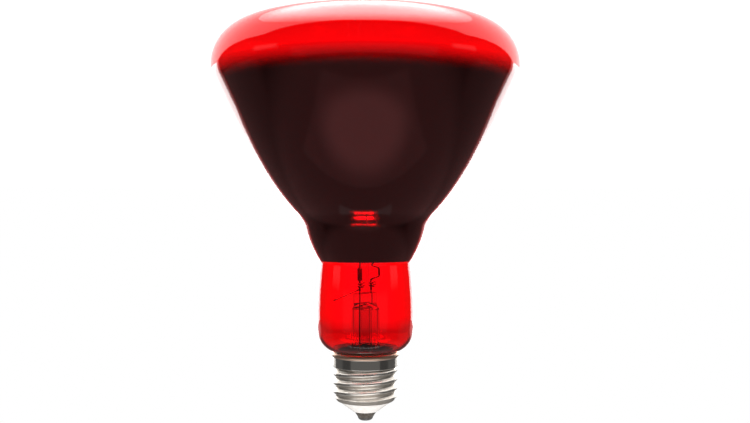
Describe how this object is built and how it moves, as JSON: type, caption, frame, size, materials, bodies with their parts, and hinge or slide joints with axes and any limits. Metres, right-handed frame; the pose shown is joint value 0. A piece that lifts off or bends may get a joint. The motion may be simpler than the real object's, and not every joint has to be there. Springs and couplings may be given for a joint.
{
  "type": "infrared heat lamp bulb",
  "caption": "Ruby glass infrared reflector lamp with a paraboloid mirrored bulb, crowned face, narrow neck and right-hand screw cap with an end contact.",
  "frame": {"origin": "centre of the flat tip of the end contact, at the foot of the screw cap", "axes": "+Z along the lamp's axis from the cap to the face; X and Y square to it, with the mount's press turned 50 degrees from +X"},
  "size_m": [0.125, 0.125, 0.1673],
  "materials": {
    "ruby_glass": "blown ruby-coloured glass, clear and glossy",
    "clear_glass": "drawn and pressed clear glass",
    "mirror_film": "evaporated aluminium film",
    "nickel_wire": "drawn nickel-plated wire",
    "copper_wire": "drawn copper wire",
    "tungsten": "coiled drawn tungsten",
    "cap_shell": "nickel-plated brass sheet, formed, bright",
    "contact_brass": "pressed brass",
    "solder": "tin solder, dull",
    "cap_glass": "white opal glass, moulded in",
    "cement": "baked basing cement, dull"
  },
  "bodies": {
    "root": {"glass_envelope": "ruby_glass", "reflector_coating": "mirror_film", "glass_stem": "clear_glass", "exhaust_tube": "clear_glass", "support_cane": "clear_glass", "outer_lead_centre": "copper_wire", "outer_lead_side": "copper_wire", "seal_wire_left": "copper_wire", "seal_wire_right": "copper_wire", "inner_lead_left": "nickel_wire", "inner_lead_right": "nickel_wire", "lead_sleeve": "nickel_wire", "tie_wire_left": "nickel_wire", "tie_wire_right": "nickel_wire", "brace_wire": "nickel_wire", "lead_clamp_left": "nickel_wire", "lead_clamp_right": "nickel_wire", "filament": "tungsten", "filament_support_1": "tungsten", "filament_support_2": "tungsten", "filament_support_3": "tungsten", "filament_support_4": "tungsten", "filament_support_5": "tungsten", "screw_shell": "cap_shell", "cap_insulator": "cap_glass", "centre_contact": "contact_brass", "contact_solder": "solder", "side_solder": "solder", "basing_cement": "cement"}
  },
  "joints": []
}
